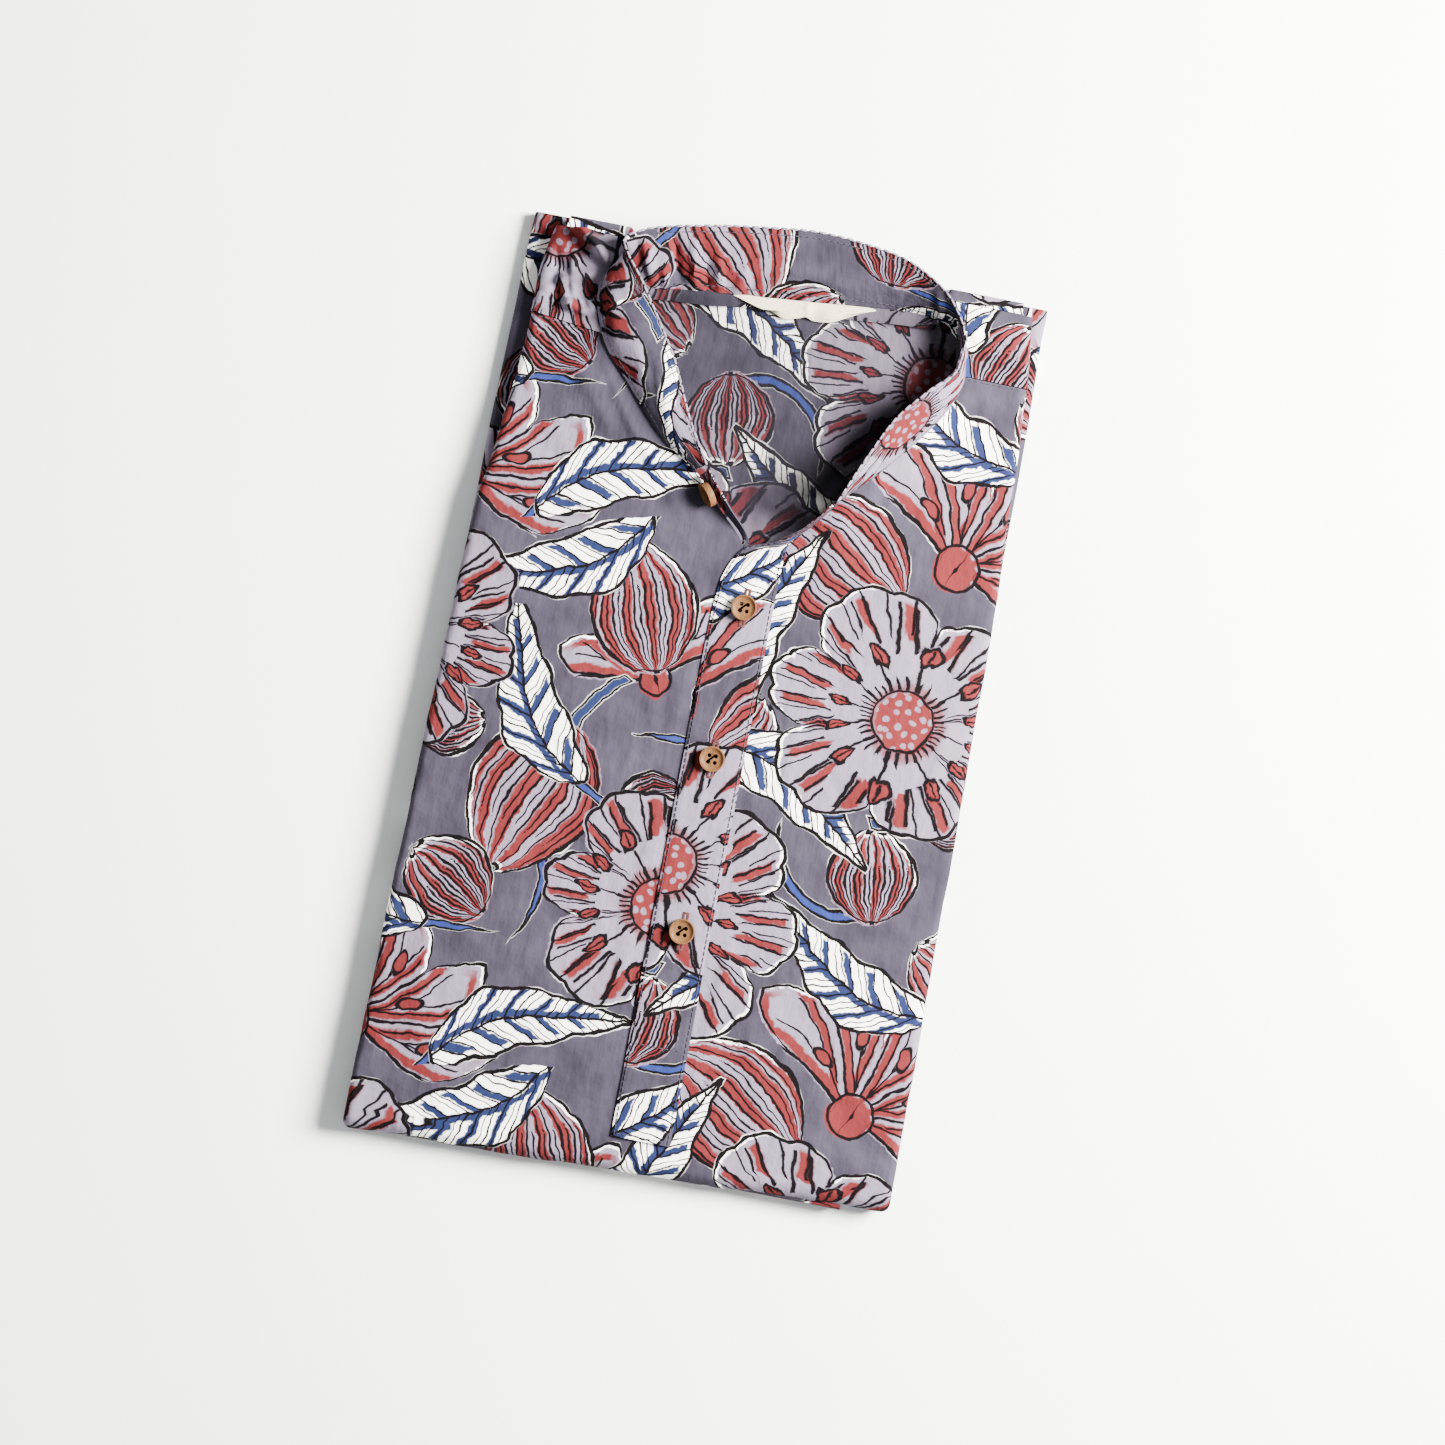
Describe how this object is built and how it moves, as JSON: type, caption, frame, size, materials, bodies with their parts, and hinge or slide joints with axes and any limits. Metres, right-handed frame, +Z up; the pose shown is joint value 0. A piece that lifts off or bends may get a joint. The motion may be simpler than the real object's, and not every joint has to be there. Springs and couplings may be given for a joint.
{
  "type": "kurta tunic",
  "caption": "Folded cotton kurta tunic with a standing collar band, buttoned placket and block-printed flowers, lying face up.",
  "frame": {"origin": "centre of the folded bundle's box in plan, on the surface that it rests on", "axes": "+Y toward the neck, +X to the viewer's right when it is seen face up with the neck away, +Z up out of the front"},
  "size_m": [0.2502, 0.4362, 0.0325],
  "materials": {
    "printed_cotton": "matt block-printed cotton, lilac grey ground with red, blue and white flowers",
    "printed_cotton_yoke_left": "matt block-printed cotton, lilac grey ground with red, blue and white flowers",
    "printed_cotton_yoke_right": "matt block-printed cotton, lilac grey ground with red, blue and white flowers",
    "printed_cotton_back": "matt block-printed cotton, lilac grey ground with red, blue and white flowers",
    "printed_cotton_inner": "matt block-printed cotton, lilac grey ground with red, blue and white flowers",
    "printed_cotton_band": "matt block-printed cotton, lilac grey ground with red, blue and white flowers",
    "printed_cotton_overlap": "matt block-printed cotton, lilac grey ground with red, blue and white flowers",
    "printed_cotton_underlap": "matt block-printed cotton, lilac grey ground with red, blue and white flowers",
    "label_cotton": "cream woven cotton tape, bare",
    "button_wood": "pale wood, turned and lightly waxed"
  },
  "bodies": {
    "root": {"front_body": "printed_cotton", "yoke_left": "printed_cotton_yoke_left", "yoke_right": "printed_cotton_yoke_right", "back_body": "printed_cotton_back", "folded_layers": "printed_cotton_inner", "collar_band": "printed_cotton_band", "placket_overlap": "printed_cotton_overlap", "placket_underlap": "printed_cotton_underlap", "neck_label": "label_cotton", "button_1": "button_wood", "button_2": "button_wood", "button_3": "button_wood", "button_4": "button_wood"}
  },
  "joints": []
}
